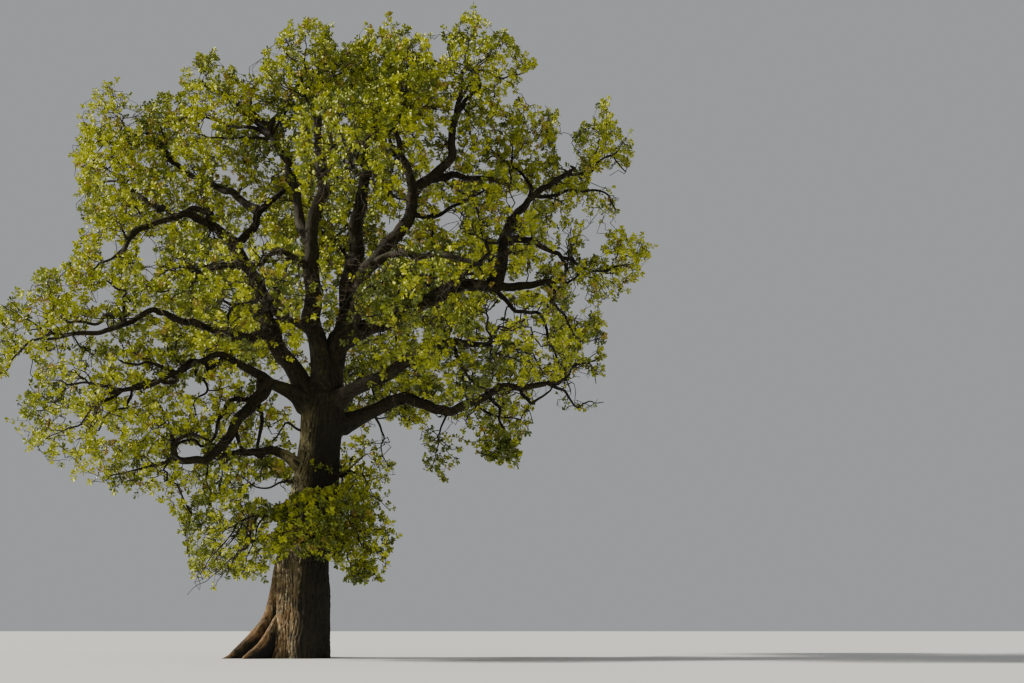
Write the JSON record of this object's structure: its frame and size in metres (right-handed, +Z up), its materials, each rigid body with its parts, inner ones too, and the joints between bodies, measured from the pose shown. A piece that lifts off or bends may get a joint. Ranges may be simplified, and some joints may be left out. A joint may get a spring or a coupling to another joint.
{
  "type": "oak tree",
  "caption": "Broad old oak in young leaf: a stout flared trunk forks low into crooked spreading boughs that carry rounded masses of leafy twigs.",
  "frame": {"origin": "middle of the trunk's middle line on the flat cut at ground level", "axes": "+Z up, +X to the right as the tree is seen in the picture, +Y away from the viewer"},
  "size_m": [25.3464, 17.3194, 26.4043],
  "materials": {
    "bark": "rough, deeply furrowed bark",
    "foliage": "matt young leaves on thin twigs"
  },
  "bodies": {
    "root": {"trunk": "bark", "bough_back_left": "bark", "bough_back_low": "bark", "bough_back_mid": "bark", "bough_back_right": "bark", "bough_centre_left": "bark", "bough_centre_right": "bark", "bough_front_high": "bark", "bough_front_left": "bark", "bough_front_right": "bark", "bough_inner_right": "bark", "bough_left_arch": "bark", "bough_left_drooping": "bark", "bough_left_high": "bark", "bough_left_leader": "bark", "bough_left_low": "bark", "bough_left_reach": "bark", "bough_left_thin": "bark", "bough_left_upper": "bark", "bough_low_left": "bark", "bough_right_far": "bark", "bough_right_high": "bark", "bough_right_leader": "bark", "bough_right_low": "bark", "bough_right_mid": "bark", "bough_right_rising": "bark", "bough_right_smooth": "bark", "bough_right_upper": "bark", "bough_upper_left": "bark", "foliage_back_left": "foliage", "foliage_back_low": "foliage", "foliage_back_mid": "foliage", "foliage_back_right": "foliage", "foliage_centre_left": "foliage", "foliage_centre_right": "foliage", "foliage_front_high": "foliage", "foliage_front_left": "foliage", "foliage_front_right": "foliage", "foliage_inner_right": "foliage", "foliage_left_arch": "foliage", "foliage_left_drooping": "foliage", "foliage_left_high": "foliage", "foliage_left_leader": "foliage", "foliage_left_low": "foliage", "foliage_left_reach": "foliage", "foliage_left_thin": "foliage", "foliage_left_upper": "foliage", "foliage_low_left": "foliage", "foliage_right_far": "foliage", "foliage_right_high": "foliage", "foliage_right_leader": "foliage", "foliage_right_low": "foliage", "foliage_right_mid": "foliage", "foliage_right_rising": "foliage", "foliage_right_smooth": "foliage", "foliage_right_upper": "foliage", "foliage_trunk_front": "foliage", "foliage_trunk_left": "foliage", "foliage_trunk_right": "foliage", "foliage_upper_left": "foliage"}
  },
  "joints": []
}
